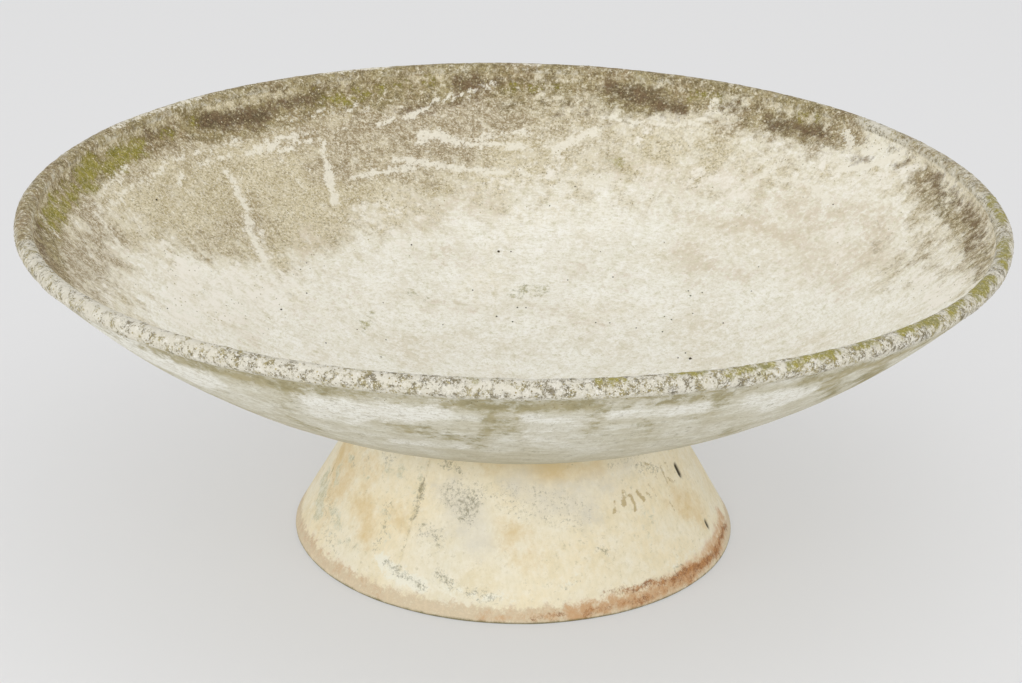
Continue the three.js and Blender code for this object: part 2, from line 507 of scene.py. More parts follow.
LICHEN = strokes_of("""
100 28 131,560 136,564 141,566
85 20 121,571 128,569
65 14 141,573 152,574
40 12 152,574 166,575 178,575
85 18 94,574 99,571
50 26 97,556 103,549 108,544
90 22 66,556 71,562 76,568
80 12 70,575 78,575
65 12 85,575 93,575
40 12 99,577 113,576
45 16 113,568 121,572
80 24 44,566 52,562
50 16 54,573 60,570
60 10 27,573 28.5,562
50 24 357,562 6,568 20,568
45 12 33,558 36,548
60 20 190,572 200,568 208,566
""")
MOSS = strokes_of("""
95 26 166,574 170,566 171,558
60 30 156,566 164,562
60 24 174,566 182,560 188,566
70 16 180,574 182,568 184,572
50 12 154,570 162,573
60 18 112,570 116,564 121,568
50 10 103,575 110,574
50 12 85,571 92,571
50 10 60,575 65,574
50 10 45,577 48,577
40 14 142,572 150,568
80 8 156,335
35 16 121,258 125,278
30 20 142,250 148,240
35 14 73,482 76,478
30 24 84,262 90,250
""")
SPECKS = listed("""
2.2,95,327 1.2,92,329 1.4,115,354 0.86,71,340 0.86,58,374 1.2,65,300 1.1,84,407 0.72,98,407
1.1,80,442 1,76,282 1.6,163,326 1.2,151,326 1,146,360 1.6,160,512 1.2,104,259 1.1,40,318
1.3,42,306 1.1,44,312 1.2,25,295 1,36,282 1.2,39,260 2.3,13,231 1.1,16,219 1.2,60,210 1.1,55,218
1,30,352 1.1,188,430 0.94,143,365 1.2,168,250 1.4,98,206 1.3,92,190 1,120,198 1.3,90,220
1.1,87,222 1.2,36,232 1.1,45,220 1.2,18,228 0.94,35,386 1.1,33,497 1,147,202 0.94,152,240
0.94,134,262 1.1,160,188 1,42,257
""")

# %% Strokes inside the bowl: scars, chalk and blush
SCARS = strokes_of("""
98 5.9 94,572 98,562 103,552
100 7.4 103,552 107,539 113,530
100 10 89,494 95,498 101,501 104,508
100 14 101,500 103,512 106,514 107,502
85 7.4 86,506 90,512 96,509
100 7.4 92,457 98,461 103,467
100 10 103,468 108,477 112,484
100 8.1 109,470 115,468 121,467
65 6.7 90,456 80,450 72,452
100 9.6 123,522 124,500 124.5,484
100 13 124.5,484 125.5,462 126.5,436
100 7.4 124,534 130,529 136,526
98 6.7 125,522 131,520 138,523
65 5.9 114,553 122,552 128,549
78 5.9 137,538 145,541 152,543 157,534
78 5.9 157,534 164,536 169,533 176,535
65 5.9 160,556 168,548 175,536
65 6.7 139,526 144,528 148,527
100 6.7 143,513 143.3,496
100 11 143.3,496 144,478 145,458
91 11 146,450 149,420 153,378
100 10 151.5,525 153,516
100 6.7 163.5,553 163.5,547
52 5.9 132,520 131,470 129,430 127,396
65 5.9 166,546 168,500 170,462
85 6.7 175,530 177,502 180,488
78 6.7 187,580 188.5,552
91 13 78,520 81,508 84,492
78 8.1 64,538 68,535 76,537
98 7.4 47,525 48,508 49.5,486
91 8.1 34,497 38,505 42,507 46,500
78 9.6 61.5,574 62,553 65,540
100 13 29,575 31,562 34,546 37,536
98 11 33,575 35,562
100 13 40,575 37.5,562
91 6.7 109,590 114,589 119,591
78 7.4 87,588 90,586
65 10 140,588 150,589 158,588
""")
CHALK = strokes_of("""
40 34 147,430 151,390
45 44 168,462 174,430 190,420
40 60 170,420 186,400 160,376
35 50 150,350 164,340 180,350
45 20 192,500 200,498
30 40 112,400 122,420 118,352
35 34 84,470 96,440 76,470
40 26 72,512 70,530
90 14 24.5,573 26,560
40 34 28,545 40,530
70 34 349,545 346,525 352,512
45 30 357,500 4,498
40 30 21,442 28,470
35 40 50,470 58,480 68,470
""")
BLUSH = strokes_of("""
55 60 14,480 26,500 40,486
50 60 44,486 60,480 74,474
50 50 12,420 24,440 34,452
45 60 172,500 186,500
100 30 35,438 46,432
70 26 47,432 55,426
60 20 57,418 68,414
60 40 31,364 42,366 54,370
50 18 42,332 47,330
45 30 60,300 70,304 80,312
85 50 128,410 141,402
50 64 98,412 115,402
35 50 60,215 85,230
40 34 103,222 120,226
45 24 22,418 28,410
60 8 13,352 15,356
40 40 104,320 116,336
40 40 176,352 186,340
35 40 140,300 160,290
40 44 18,500 21,470 17,455
""")

# %% Strokes on the rim and the outside of the bowl
RIM_SPECKLE = listed("""
0,0.56 20,0.45 40,0.41 60,0.36 90,0.31 140,0.31 165,0.36 180,0.45 200,0.5 212,0.41 224,0.31
236,0.4 244,0.5 250,0.38 258,0.5 266,0.41 276,0.54 286,0.45 296,0.56 310,0.5 330,0.54 345,0.54
360,0.56
""")
RIM_MOSS = strokes_of("""
60 10.4 278,592 280,592
60 10.4 265,589 266,590
80 13.2 285,592 288,592
75 13.2 291,595 296,592
85 16 298,595 304,590
70 14.6 307,592 311,588
95 17.4 314,592 320,589
80 14.6 323,594 327,591
90 17.4 330,594 336,590
70 14.6 341,594 350,592
60 13.2 356,592 6,590
""")
PLATE = strokes_of("""
95 40 227,556 232,536
90 44 249,560 256,556 262,566
70 30 247,534 252,522
85 30 272,562 276,552
85 26 280,566 290,564
95 40 296,562 303,556 300,540
100 90 200,570 208,540 216,490 214,450
90 60 222,570 236,560
60 30 256,474 263,478
60 50 335,560 345,540
40 60 222,580 236,586
35 50 272,520 280,470
""")
GRIME = strokes_of("""
95 16 234,580 240,584 246,584 252,582
60 12 252,584 260,586 264,584
100 18 264,584 270,580 276,582
70 14 278,584 286,582 292,584
70 14 216,584 226,584 234,586
80 14 300,584 310,582 320,584
70 14 322,584 334,582 346,584
65 18 240,590 248,572 246,560
45 16 243,550 245,524
95 13 232,594 238,593 246,592 252,593
80 10 252,594 258,592 264,594
85 13 266.5,594 267.5,560 267,530
60 18 267,520 265,480
60 34 257,526 264,508
45 24 270,560 269,530
35 24 278,580 279,520
50 18 284,540 286,492
60 12 290,590 292,560 290,538
95 14 266,592 272,590 277,592
70 12 280,592 287,592 294,591
70 14 300,590 308,588 315,588
80 26 306,566 310,540 312,514
90 40 314,556 320,516 328,468
60 26 299,474 302,448
55 30 312,384 314,360
50 26 242,500 244,468
45 40 224,500 230,470 232,430
40 30 228,340 234,350
40 40 196,590 204,560
50 50 338,500 350,560
50 60 20,540 36,500 52,520
50 50 84,560 98,530 112,548
55 60 150,520 166,480 178,500
""")

# %% [markdown]
# ## Hand-made unevenness
#
# No hand-moulded bowl is a true circle. This one sits a little lower on its right, its rim
# is slightly oval and waves up and down by a few millimetres. The warp fades out towards
# the seat, where the dish has to stay on the sphere that the stand is bevelled to.


# %% Warp of the bowl
STILL_RADIUS = 200 * MM  # the dish keeps to its sphere out to here, and lets go
LETTING_GO = 60 * MM     # over this stretch
OVAL = (0.0213, -0.0049)  # share of the radius, times the sine and cosine of twice the azimuth
TILT = (-0.0146, 0.0026)  # rise for each metre towards +X and +Y
WAVES = {2: (-0.14, -4.2), 3: (1.4, -0.45)}  # the rim's rise in mm, for so many waves round it


def azimuth_of(places):
    return np.arctan2(places[:, 1], places[:, 0])


def warped_bowl(places):
    x, y, z = places.T
    radius = np.hypot(x, y)
    turn = azimuth_of(places)
    free = ease((radius - STILL_RADIUS) / LETTING_GO)
    oval = 1 + free * (OVAL[0] * np.sin(2 * turn) + OVAL[1] * np.cos(2 * turn))
    wave = sum(sine * np.sin(n * turn) + cosine * np.cos(n * turn) for n, (sine, cosine) in WAVES.items())
    lift = free * (TILT[0] * x + TILT[1] * y + np.square(radius / RIM_RADIUS) * wave * MM)
    return np.column_stack([x * oval, y * oval, z + lift])


# %% Turn the bowl and paint it
def keep_mask(mesh, name, values):
    mesh.attributes.new(name, "FLOAT", "POINT").data.foreach_set("value", values)


def profile_mesh(name, outline, marks):
    mesh = bpy.data.meshes.new(name)
    mesh.from_pydata([(p.real, 0.0, p.imag) for p in outline], [], [])
    for mark, values in marks.items():
        keep_mask(mesh, mark, values)
    return mesh


def places_of(mesh):
    places = np.empty(len(mesh.vertices) * 3)
    mesh.vertices.foreach_get("co", places)
    return places.reshape(-1, 3)


def values_of(mesh, name):
    values = np.empty(len(mesh.vertices))
    mesh.attributes[name].data.foreach_get("value", values)
    return values


RING_RADIUS = 160 * MM


def keep_ring(mesh, places):
    """Keeps a place for patterns that are drawn out round the axis: every azimuth is brought
    in to RING_RADIUS, which makes them about three times as long as wide."""
    turn = azimuth_of(places)
    along = places[:, 2] + np.hypot(places[:, 0], places[:, 1])
    ring = np.column_stack([RING_RADIUS * np.cos(turn), RING_RADIUS * np.sin(turn), along])
    mesh.attributes.new("ring", "FLOAT_VECTOR", "POINT").data.foreach_set("vector", ring.ravel())


FILM_BEFORE = 50 * MM  # the film begins this much before its edge
FILM_FADE = 150 * MM   # and is full this much further out


def paint_bowl(mesh):
    spots = places_of(mesh)
    inward = values_of(mesh, "inside")
    bead = values_of(mesh, "bead")
    azimuths = np.degrees(azimuth_of(spots)) % 360
    frayed = jostled(spots, size=22, reach=7)
    drifting = jostled(frayed, size=80, reach=26)
    grazed = jostled(spots, size=10, reach=6)
    within = ease(inward * 3 - 0.5)  # sharper than `inward`, so that nothing bleeds outside
    whole = np.maximum(within, bead)
    outward = 1 - inward

    def round_the_axis(listed_values):
        return np.interp(azimuths, *np.array(listed_values).T)

    from_edge = np.hypot(drifting[:, 0], drifting[:, 1]) - round_the_axis(FILM_EDGE) * MM
    film = ease((from_edge + FILM_BEFORE) / FILM_FADE)
    keep_mask(mesh, "film", film * round_the_axis(FILM_STRENGTH) * within)
    keep_mask(mesh, "speckle", round_the_axis(RIM_SPECKLE) * bead)
    for name, places, surface, blur, strokes, where in (
        ("crust", frayed, on_inside, 12, CRUST, whole),
        ("stain", drifting, on_inside, 24, STAIN, within),
        ("lichen", frayed, on_inside, 13, LICHEN, whole),
        ("chalk", frayed, on_inside, 10, CHALK, within),
        ("scars", grazed, on_inside, 2.5, SCARS, whole),
        ("blush", drifting, on_inside, 20, BLUSH, within),
        ("plate", frayed, on_outside, 14, PLATE, outward),
        ("grime", frayed, on_outside, 12, GRIME, outward),
    ):
        keep_mask(mesh, name, painted(places, surface, blur, strokes) * where)
    inner_moss = painted(frayed, on_inside, 12, MOSS) * within
    keep_mask(mesh, "moss", np.maximum(inner_moss, painted(frayed, on_inside, 7, RIM_MOSS) * bead))

    speck = np.zeros(len(spots))
    for size, azimuth, radius in SPECKS:
        speck[np.argmin(np.linalg.norm(spots - on_inside(azimuth, radius * MM), axis=1))] = size
    keep_mask(mesh, "speck", speck)
    keep_ring(mesh, spots)
    mesh.vertices.foreach_set("co", warped_bowl(spots).ravel())


def turned_mesh(name, outline, marks, columns):
    profile = profile_mesh(name + "_outline", outline, marks)
    return bake(name, profile, turning_tree(marks), {"Columns": columns})


bowl_mesh = turned_mesh("bowl_shell", bowl_outline, bowl_marks, BOWL_COLUMNS)
paint_bowl(bowl_mesh)
print("bowl:", len(bowl_mesh.vertices), "points,", 2 * len(bowl_mesh.polygons), "triangles")

# %% Strokes on the stand
RUST = strokes_of("""
100 8 316,17 322,16 329,13 338,12
85 7 303,22 310,20 317,18
60 5 294,24 299,25 303,23
85 7 338,13 347,17 352,14
60 5 275,7 279,10 283,7
50 9 288,8 306,8
45 6 306,9 322,8 340,7
""")
TINGE = strokes_of("""
75 22 286,9 306,11 322,13
75 24 322,13 340,18 352,26
40 14 262,6 286,8
20 16 192,14 214,14 236,12
""")
# Yellow-brown stains, and painted shade along the top just under the bowl: the strokes at 154 to 164 mm.
OCHRE_AND_SHADE = strokes_of("""
70 50 192,112 203,90
45 30 206,132 216,116
60 36 218,84 223,64
35 26 231,100 234,80
55 40 330,86 337,62
30 40 268,96 274,70
85 6 258,163 272,164 286,163
100 18 280,156 290,160 301,154
60 14 203,50 204,34
50 18 190,84 200,70
""")
WORN = strokes_of("""
85 24.7 188,70 193,60 199,40
77 11.4 196,96 199,84
68 15.2 205,60 212,52
64 11.4 199,117 204,114
51 9.5 211,114 214,110
42 19 222,132 228,136
59 4.8 207,39 214,40 223,41
38 13.3 227,92 232,64
30 19 313,70 318,110
42 9.5 236,150 237,120
59 7.6 240,36 246,30
""")
WASH = strokes_of("""
70 40 249,130 255,112 260,84
60 40 272,146 280,128 292,118
50 24 296,140 304,130
40 16 243,80 247,88
50 8 293,92 296,98
35 30 306,146 320,150
""")
CHALK_LOW = strokes_of("""
95 18 232,44 237,34 246,30
45 12 252,34 262,26 270,26
50 8 316,29 330,30 344,27
40 8 191,30 197,60
40 10 284,40 288,44
""")
FLAKES = strokes_of("""
76 4.5 303,104 304.5,112
85 5.2 308,122 307,106
95 6.8 310.5,116 311,100
76 5.2 314,116 315,104
66 4.5 317,111 318.5,103
57 3.8 319.5,137
66 4.5 320.5,118 321,104
66 4.5 325,130 325,120
66 4.5 329,128 328.5,108
57 4.5 327,96 326,80
66 3.8 332,128 333,119
47 5.2 333,104 330,112
57 6 322,142 324,136
57 4.5 190,92 192,80
""")
DOTS = strokes_of("""
66 4.5 237.6,160 237.8,130
100 9 238,130 238.4,98
74 4.5 238.4,98 238,62
49 3.6 238,62 238,34
66 9 200,117 204,113
66 7.2 220,136 221,127
66 5.4 217,97 217.5,88
82 10.8 244,157 249,156 252,150
57 5.4 263,159
66 4.5 290,161 293.5,157
61 36 249,130 254,120
49 27 258,136 256,104
57 18 242,84 247,86 248,74
57 14.4 228,98 229,80
49 14.4 230,72 229,50
82 9 295,72 297,66
74 12.6 234,42 242,34 247,28
74 14.4 250,46 254,36
61 14.4 258,32 266,26
66 8.1 284,36 287,42
74 8.1 317,27 320,26
57 2.7 332,48 332,34
66 5.4 208,39 214,40 223,41
57 10.8 206,32 216,28
74 4.5 277,9 281,10
49 21.6 210,150 222,146
61 18 318,138 328,128
49 14.4 306,150 330,150
41 45 268,130 290,110
41 27 196,70 206,50
37 18 204,132 212,120
""")
SEAM_AZIMUTH = 238
SEAM_WIDTH = 5
SEAM_DEPTH = 1.6
SEAM_END_MARGIN = 22 * math.cos(taper)  # the groove stops 22 mm short of both edges
GOUGES = listed("338.5,103,118,10,2.6 339.6,37,46,8,2.2")  # azimuth, from, to, width and depth
GROOVE_END = 6 * MM  # over which a groove or a gouge runs out

# %% [markdown]
# ## The seam and two gouges
#
# The sheet was wrapped into a cone and lapped, which leaves a fine groove down its side,
# and something has nicked the paint twice at the right. They are narrower than the mesh's
# columns, so the columns are drawn together there first, like pleats in a cloth.


# %% Turn the stand, groove it and paint it
def crowded(azimuths, centre, spread=12.0, share=0.78):
    """Draws azimuths together about a centre, and leaves those far from it in place."""
    aside = azimuths - centre
    return azimuths - share * aside * np.exp(-np.square(aside / spread))


def groove(azimuths, heights, radii, centre, low, high, width, depth):
    """Depth of a V-shaped groove that runs up the side from one height to another."""
    aside = np.abs(np.radians(azimuths - centre) * radii)
    beyond = np.maximum(low * MM - heights, heights - high * MM)
    return depth * MM * np.clip(1 - aside / (width * MM / 2), 0, 1) * ease(0.5 - beyond / GROOVE_END)


def turn_stand():
    mesh = turned_mesh("stand_shell", stand_outline, stand_marks, STAND_COLUMNS)
    spots = places_of(mesh)
    radii = np.hypot(spots[:, 0], spots[:, 1])
    azimuths = crowded(np.degrees(azimuth_of(spots)) % 360, SEAM_AZIMUTH)
    azimuths = crowded(azimuths, GOUGES[0][0], spread=9.0)
    outward = 1 - values_of(mesh, "inside")

    seam_ends = (SEAM_END_MARGIN, STAND_HEIGHT / MM - SEAM_END_MARGIN)
    cut = groove(azimuths, spots[:, 2], radii, SEAM_AZIMUTH, *seam_ends, SEAM_WIDTH, SEAM_DEPTH)
    nick = np.zeros(len(spots))
    for gouge in GOUGES:
        nick = np.maximum(nick, groove(azimuths, spots[:, 2], radii, *gouge))
    turns = np.radians(azimuths)
    spots = np.column_stack([radii * np.cos(turns), radii * np.sin(turns), spots[:, 2]])
    frayed = jostled(spots, size=14, reach=4)
    for name, blur, strokes in (
        ("tinge", 9, TINGE), ("rust", 4, RUST), ("ochre_and_shade", 16, OCHRE_AND_SHADE), ("worn", 8, WORN),
        ("wash", 16, WASH), ("chalk", 6, CHALK_LOW), ("flakes", 1.6, FLAKES), ("dots", 6, DOTS),
    ):
        keep_mask(mesh, name, painted(frayed, on_stand, blur, strokes) * outward)
    # the gouges' depth as a mask, which the stand's material fills with painted shade
    keep_mask(mesh, "nick", np.clip(2 * nick / (GOUGES[0][4] * MM), 0, 1) * outward)
    keep_ring(mesh, spots)
    inset = ((cut + nick) * outward)[:, None]
    lean = np.column_stack([
        np.cos(turns) * math.cos(taper),
        np.sin(turns) * math.cos(taper),
        np.full(len(spots), math.sin(taper)),
    ])
    mesh.vertices.foreach_set("co", (spots - inset * lean).ravel())
    return mesh


stand_mesh = turn_stand()
print("stand:", len(stand_mesh.vertices), "points,", 2 * len(stand_mesh.polygons), "triangles")

# %% [markdown]
# ## Materials
#
# Fibre cement is matt and mineral, and so is limewash: light sinks in a little and comes
# back without gloss, so both shaders are plain diffuse stone with a high roughness. All
# the character is in the layers. Each layer is a colour laid over the one below where its
# mask, pushed up and down by a grain, passes a half. A mask of a third then gives a third
# of cover in ragged islands, as growth on stone has it. The layers are written as tables: a
# colour, a mask, a grain, how far the grain breaks the mask up, how soft the edge is, the
# most that it covers, and how far it is thinned out to dots.

# %% Helpers for layered materials
MIX_FACTOR, MIX_A, MIX_B, MIX_RESULT = 0, 6, 7, 2
NO_GROWTH_FADE = 8.0  # keeps a layer off places that its painted mask leaves bare


def per(millimetres):
    """The scale at which a texture repeats about every so many millimetres."""
    return 1 / (millimetres * MM)


def covered(tree, mask, grain, breakup, edge, most=1.0, rarity=0.0):
    """How far a layer covers, up to `most`: where the mask, moved by the grain, passes a half.
    A `rarity` above zero thins the layer out to scattered dots."""
    moved = add(tree, "ShaderNodeMath", {0: grain, 1: breakup, 2: mask}, operation="MULTIPLY_ADD")
    middle = 0.5 + breakup / 2 + rarity
    spread = {"Value": moved.outputs[0], "From Min": middle - edge, "From Max": middle + edge, "To Max": most}
    cover = add(tree, "ShaderNodeMapRange", spread, interpolation_type="SMOOTHSTEP").outputs["Result"]
    if isinstance(mask, float):
        return cover
    near = add(tree, "ShaderNodeMath", {0: mask, 1: NO_GROWTH_FADE}, operation="MULTIPLY", use_clamp=True)
    return add(tree, "ShaderNodeMath", {0: cover, 1: near.outputs[0]}, operation="MULTIPLY").outputs[0]


def layered(tree, grain, colour, layers):
    """Lays colours over one another. A layer's mask is a number, a node's output or the name
    of a painted mask. A layer without a grain covers as much as its mask says."""
    for above, mask, *breaking in layers:
        if isinstance(mask, str):
            mask = add(tree, "ShaderNodeAttribute", attribute_name=mask).outputs["Fac"]
        cover = covered(tree, mask, grain[breaking[0]], *breaking[1:]) if breaking else mask
        mixed = add(tree, "ShaderNodeMix", {MIX_FACTOR: cover, MIX_A: colour, MIX_B: above}, data_type="RGBA")
        colour = mixed.outputs[MIX_RESULT]
    return colour


def shares_by_height(tree, where, reaches):
    """One share for each name: 0 at the first height in mm, rising to `most` at the second."""
    height = add(tree, "ShaderNodeSeparateXYZ", {0: where}).outputs["Z"]
    return {
        name: add(
            tree, "ShaderNodeMapRange",
            {"Value": height, "From Min": none * MM, "From Max": full * MM, "To Max": most},
        ).outputs[0]
        for name, (none, full, most) in reaches.items()
    }


def finish_stone(tree, shader, colour, grain, coarse, strength, distance, roughness, gloss):
    """Ends a material: its colour, its pits as bump, and how rough and glossy it is."""
    grit = {0: grain["crumbs"], 1: coarse, 2: grain["grit"]}
    relief = add(tree, "ShaderNodeMath", grit, operation="MULTIPLY_ADD").outputs[0]
    pits = {"Height": relief, "Strength": strength, "Distance": distance}
    tree.links.new(add(tree, "ShaderNodeBump", pits).outputs[0], shader.inputs["Normal"])
    tree.links.new(colour, shader.inputs["Base Color"])
    shader.inputs["Roughness"].default_value = roughness
    shader.inputs["Specular IOR Level"].default_value = gloss


def new_material(name):
    material = bpy.data.materials.new(name)
    material.use_nodes = True
    tree = material.node_tree
    shader = tree.nodes["Principled BSDF"]
    where = add(tree, "ShaderNodeTexCoord").outputs["Object"]
    return material, tree, shader, where


def grains(tree, where, sizes):
    """One noise for each name, from its size in millimetres, detail and roughness."""
    return {
        name: add(
            tree, "ShaderNodeTexNoise",
            {"Vector": where, "Scale": per(size), "Detail": detail, "Roughness": roughness},
        ).outputs["Fac"]
        for name, (size, detail, roughness) in sizes.items()
    }


# %% Weathered fibre cement of the bowl
def weathered_cement():
    material, tree, shader, where = new_material("weathered_fibre_cement")
    ring = add(tree, "ShaderNodeAttribute", attribute_name="ring").outputs["Vector"]
    grain = grains(tree, where, {
        "clouds": (170, 5.0, 0.6), "drift": (70, 7.0, 0.7), "patches": (34, 8.0, 0.72),
        "islands": (15, 6.0, 0.75), "crumbs": (11, 5.0, 0.8), "flakes": (9, 5.0, 0.8),
        "grit": (8, 4.0, 0.85), "pits": (6.5, 4.0, 0.85), "dust": (4.2, 2.0, 0.9), "fleck": (3.2, 2.0, 0.9),
    })
    grain |= grains(tree, ring, {"streaks": (4.5, 5.0, 0.7), "bands": (26, 6.0, 0.7)})

    # limewash, worn and dulled by a veil of what becomes the film further out
    limewash = add(
        tree, "ShaderNodeValToRGB", {"Fac": grain["clouds"]},
        stops=[(0.36, "#E4DFCF"), (0.45, "#EBE9DD"), (0.55, "#EFEDE2"), (0.66, "#EAE5D5")],
    ).outputs[0]
    film_mask = add(tree, "ShaderNodeAttribute", attribute_name="film").outputs["Fac"]
    veil = add(tree, "ShaderNodeMath", {0: film_mask, 1: 0.7}, operation="MULTIPLY").outputs[0]
    colour = layered(tree, grain, limewash, [
        ("#DBD1BD", 0.32, "drift", 3.4, 0.7, 0.42),
        ("#CDC1A3", veil),
        ("#CBC0A6", 0.24, "patches", 3.4, 0.5, 0.42),
        ("#C3B595", veil, "islands", 3.0, 0.3, 0.55),
        ("#F4F2EB", 0.4, "islands", 3.4, 0.22, 0.62),
        ("#CBBCA3", "blush", "islands", 3.4, 0.35, 0.72),
        ("#D0CAB0", 0.32, "streaks", 3.4, 0.22, 0.5),
        ("#BFB996", 0.16, "flakes", 3.4, 0.22, 0.6),
        ("#F3F1EA", 0.26, "flakes", -3.4, 0.22, 0.6),
        ("#CFC7B3", 0.26, "dust", 3.4, 0.3, 0.4),
    ])

    # the grey-brown film of algae
    film = layered(tree, grain, "#A99B75", [
        ("#C8BD9D", 0.5, "drift", 3.4, 0.6),
        ("#897757", "stain", "patches", 2.6, 0.5, 0.88),
        ("#DED5BD", 0.36, "grit", 3.4, 0.4, 0.65),
        ("#E9E2CF", 0.3, "fleck", 3.4, 0.3, 0.7),
        ("#6F6243", 0.24, "dust", 3.4, 0.3, 0.6),
        ("#ECE7D8", 0.06, "crumbs", 3.4, 0.2, 0.85),
    ])
    colour = layered(tree, grain, colour, [(film, film_mask, "patches", 3.4, 0.4, 0.96)])

    # the rim, bare and grey, peppered with black crust and white lime
    bead = add(tree, "ShaderNodeAttribute", attribute_name="bead").outputs["Fac"]
    bare = add(tree, "ShaderNodeMath", {0: bead, 1: 0.8}, operation="MULTIPLY").outputs[0]
    speckle = layered(tree, grain, "#6E644A", [
        ("#948857", 0.5, "patches", 4.0, 0.35),
        ("#4A4436", 0.36, "dust", 3.4, 0.3, 0.75),
        ("#E4E1D6", 0.26, "fleck", 3.4, 0.25, 0.85),
    ])
    colour = layered(tree, grain, colour, [
        ("#C6C1B2", bare),
        ("#A29A82", bare, "pits", 3.4, 0.3, 0.6, 0.75),
        ("#E3E0D8", bare, "flakes", 3.4, 0.3, 0.7, 0.65),
        (speckle, "speckle", "crumbs", 4.4, 0.3, 0.9),
        ("#E4E1D9", "speckle", "pits", 3.4, 0.25, 0.85, 0.35),
    ])

    # growth under the rim, and the lime and scars over it
    crust = layered(tree, grain, "#7F7149", [
        ("#A3966C", 0.5, "patches", 3.4, 0.5),
        ("#8B7658", 0.42, "drift", 4.0, 0.4, 0.75),
        ("#5F5138", 0.26, "islands", 3.4, 0.4, 0.6),
        ("#5A4E33", 0.34, "pits", 3.4, 0.35, 0.75),
        ("#C9BF9F", 0.24, "fleck", 3.4, 0.3, 0.7),
        ("#DED7C2", 0.2, "grit", 3.4, 0.25, 0.88),
    ])
    lichen = layered(tree, grain, "#453627", [
        ("#735E46", 0.5, "islands", 3.4, 0.5),
        ("#2F2719", 0.2, "dust", 3.4, 0.3, 0.6),
        ("#A3966F", 0.14, "fleck", 3.4, 0.25, 0.7),
    ])
    moss = layered(tree, grain, "#6E6922", [
        ("#9A913D", 0.5, "crumbs", 3.4, 0.5),
        ("#C9C199", 0.14, "fleck", 3.4, 0.3, 0.8),
    ])
    colour = layered(tree, grain, colour, [
        (crust, "crust", "islands", 2.6, 0.35, 0.96),
        (lichen, "lichen", "islands", 2.8, 0.45, 0.9),
        (moss, "moss", "islands", 3.6, 0.35, 0.85),
        ("#EBE6DA", "chalk", "islands", 3.6, 0.3, 0.85),
        ("#E6E1D2", "scars", "pits", 4.4, 0.3, 0.84),
    ])

    # the outside: plates of lime left standing, grime under the bead and in runs
    grime = layered(tree, grain, "#867C4E", [("#A89D78", 0.5, "patches", 3.4, 0.5)])
    by_height = shares_by_height(tree, where, {"low": (320, 240, 1.0)})
    bands = add(
        tree, "ShaderNodeValToRGB", {"Fac": grain["bands"]},
        stops=[(0.36, "#C8C3AE"), (0.48, "#D4D1C1"), (0.6, "#DDDBCF")],
    ).outputs[0]
    outer = layered(tree, grain, bands, [
        # a darker tan towards the bottom of the outside
        ("#BFB595", by_height["low"], "drift", 2.0, 0.6, 0.75),
        ("#B2A98C", 0.34, "patches", 3.4, 0.5, 0.55),
        ("#ECEBE3", "plate", "patches", 2.6, 0.3, 0.9),
        ("#A9A184", 0.2, "dust", 3.4, 0.3, 0.45),
        ("#B7AF95", 0.28, "streaks", 3.4, 0.4, 0.55),
        (grime, "grime", "islands", 3.0, 0.45, 0.85),
        ("#7D7352", 0.04, "crumbs", 3.4, 0.3, 0.6),
        (colour, "inside"),
    ])
    finish_stone(
        tree, shader, outer, grain, coarse=1.6, strength=0.6, distance=0.9 * MM, roughness=0.92, gloss=0.25,
    )
    return material


bowl_material = weathered_cement()


